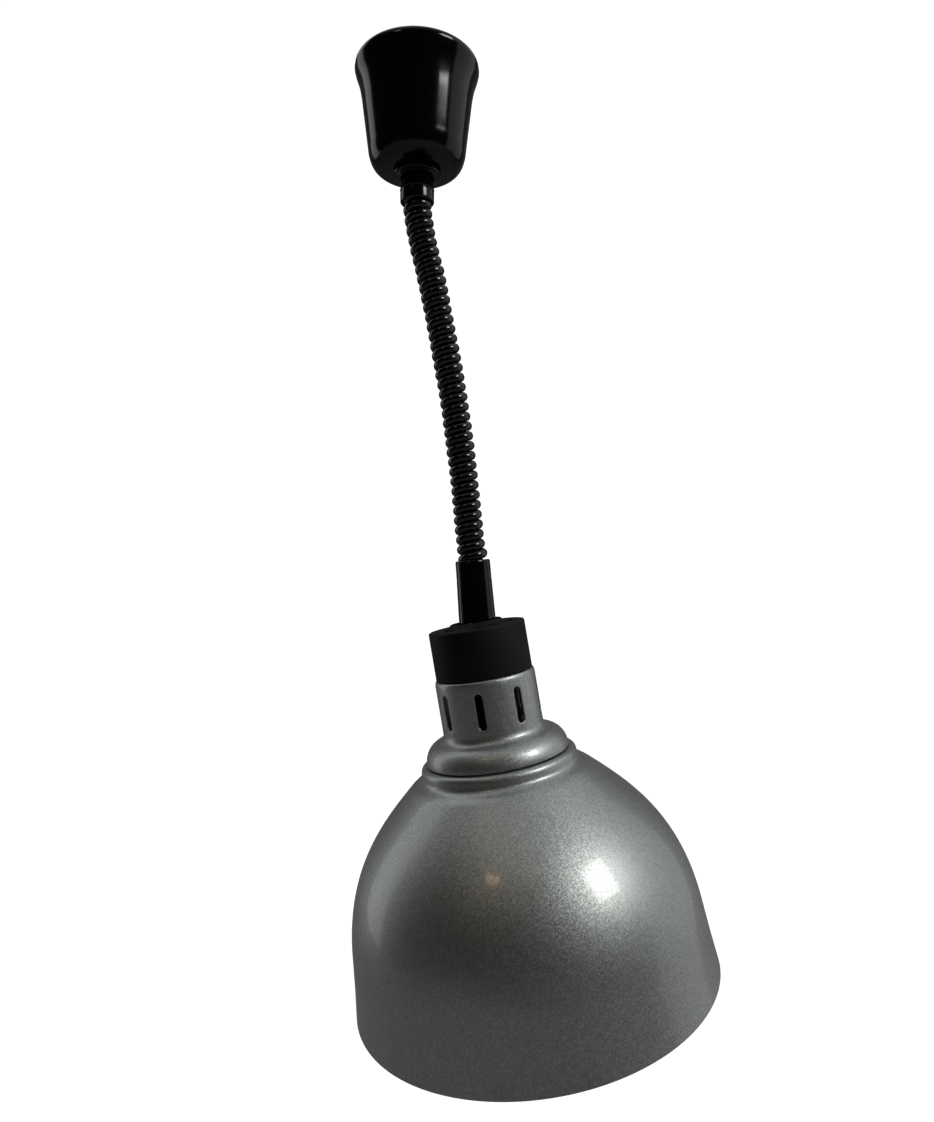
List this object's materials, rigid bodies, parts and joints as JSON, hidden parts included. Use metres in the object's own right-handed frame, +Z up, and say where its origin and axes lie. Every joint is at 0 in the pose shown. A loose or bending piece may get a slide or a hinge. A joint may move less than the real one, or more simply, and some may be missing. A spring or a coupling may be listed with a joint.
{
  "type": "heat lamp fixture",
  "caption": "Ceiling-hung heat lamp: silver bell shade and slotted neck on a coiled rise-and-fall cord under a black ceiling cup.",
  "frame": {"origin": "middle of the ceiling face, the top of the mounting strip, on the ceiling cup's axis", "axes": "+Z up, out of the top face into the ceiling; +X the way the cord leans and the shade is offset; the cord and the shade's axis lie in the XZ plane"},
  "size_m": [0.2695, 0.27, 0.7063],
  "materials": {
    "silver_paint": "fine-flake metallic silver paint, satin, on spun aluminium",
    "gloss_black": "glossy moulded black",
    "matte_black": "fine matte moulded black",
    "cord_black": "glossy black cable sheath",
    "zinc_steel": "bright zinc plate",
    "spring_steel": "blued spring steel",
    "brass": "bright",
    "porcelain": "black-glazed porcelain",
    "nylon": "natural white nylon",
    "bulb_glass": "silvered hard glass with a clear frosted face",
    "bulb_metal": "bright"
  },
  "bodies": {
    "ceiling_unit": {"ceiling_bracket": "zinc_steel", "reel_frame": "zinc_steel", "frame_screw_1": "zinc_steel", "frame_screw_2": "zinc_steel", "sleeve_plate": "zinc_steel", "reel_spindle": "zinc_steel", "spindle_nut": "zinc_steel", "friction_pad": "nylon", "friction_screw": "brass", "terminal_block": "nylon", "terminal_screw_1": "brass", "terminal_screw_2": "brass", "terminal_screw_3": "brass", "ceiling_cup": "gloss_black", "cup_lock_ring": "gloss_black", "upper_sleeve": "gloss_black", "pull_wire": "zinc_steel", "cord_tail_upper": "cord_black"},
    "reel": {"reel_drum": "nylon", "spring_cover": "zinc_steel", "balance_spring": "spring_steel"},
    "cord_top": {"coil_cord_1": "cord_black"},
    "cord_shoulder": {"coil_cord_2": "cord_black"},
    "cord_drop": {"coil_cord_3": "cord_black"},
    "cord_foot": {"coil_cord_4": "cord_black"},
    "sleeve": {"coil_cord_5": "cord_black", "lower_sleeve_front": "gloss_black", "lower_sleeve_back": "gloss_black", "cord_tail_lower": "cord_black", "cord_grip": "nylon", "wire_ferrule": "brass", "swivel_stem": "zinc_steel"},
    "swivel": {"swivel_washer": "zinc_steel"},
    "lamp_head": {"cap": "matte_black", "neck": "silver_paint", "shade": "silver_paint", "holder_bridge": "zinc_steel", "cap_screw_1": "zinc_steel", "cap_screw_2": "zinc_steel", "cap_screw_3": "zinc_steel", "lamp_holder": "porcelain", "screw_shell": "brass", "centre_contact": "brass", "holder_screw_1": "zinc_steel", "holder_screw_2": "zinc_steel", "live_wire": "cord_black", "neutral_wire": "nylon", "shade_clamp_ring": "zinc_steel", "clamp_screw_1": "zinc_steel", "clamp_screw_2": "zinc_steel", "clamp_screw_3": "zinc_steel", "bulb_glass": "bulb_glass", "bulb_cap": "bulb_metal", "bulb_contact": "brass"}
  },
  "joints": [
    {"name": "cord_swing_side", "type": "hinge", "parent": "ceiling_unit", "child": "cord_top", "pos_m": [0.0003, 0, -0.109], "axis": [0, 1, 0], "range_deg": [-40, 40], "stiffness_Nm_per_rad": 1.2, "springref_deg": -32.74, "deforming": ["coil_cord_1"]},
    {"name": "cord_swing_front", "type": "hinge", "parent": "cord_top", "child": "cord_shoulder", "pos_m": [0.0038, 0, -0.131], "axis": [1, 0, 0], "range_deg": [-40, 40], "stiffness_Nm_per_rad": 1.2, "deforming": ["coil_cord_2"]},
    {"name": "rise_and_fall", "type": "slide", "parent": "cord_shoulder", "child": "cord_drop", "axis": [0.1627, 0, -0.9867], "range_m": [0, 0.9], "deforming": ["coil_cord_3"]},
    {"name": "lamp_swing_front", "type": "hinge", "parent": "cord_drop", "child": "cord_foot", "pos_m": [0.0383, 0, -0.3405], "axis": [1, 0, 0], "range_deg": [-30, 30], "stiffness_Nm_per_rad": 0.9, "deforming": ["coil_cord_4"]},
    {"name": "lamp_swing_side", "type": "hinge", "parent": "cord_foot", "child": "sleeve", "pos_m": [0.0404, 0, -0.3617], "axis": [0, 1, 0], "range_deg": [-30, 30], "stiffness_Nm_per_rad": 0.9, "springref_deg": -16.74, "deforming": ["coil_cord_5"]},
    {"name": "head_tilt", "type": "hinge", "parent": "sleeve", "child": "swivel", "pos_m": [0.0469, 0, -0.4363], "axis": [0, 1, 0], "range_deg": [-1, 11]},
    {"name": "lamp_turn", "type": "hinge", "parent": "swivel", "child": "lamp_head", "pos_m": [0.0469, 0, -0.4363], "axis": [-0.1668, 0, 0.986], "range_deg": [-175, 175]},
    {"name": "reel_spin", "type": "hinge", "parent": "ceiling_unit", "child": "reel", "pos_m": [-0.0118, 0, -0.032], "axis": [0, 1, 0], "range_deg": [0, 4380], "deforming": ["balance_spring"]}
  ],
  "couplings": [
    {"joint": "reel_spin", "follows": "rise_and_fall", "rad_per_m": 84.746}
  ]
}
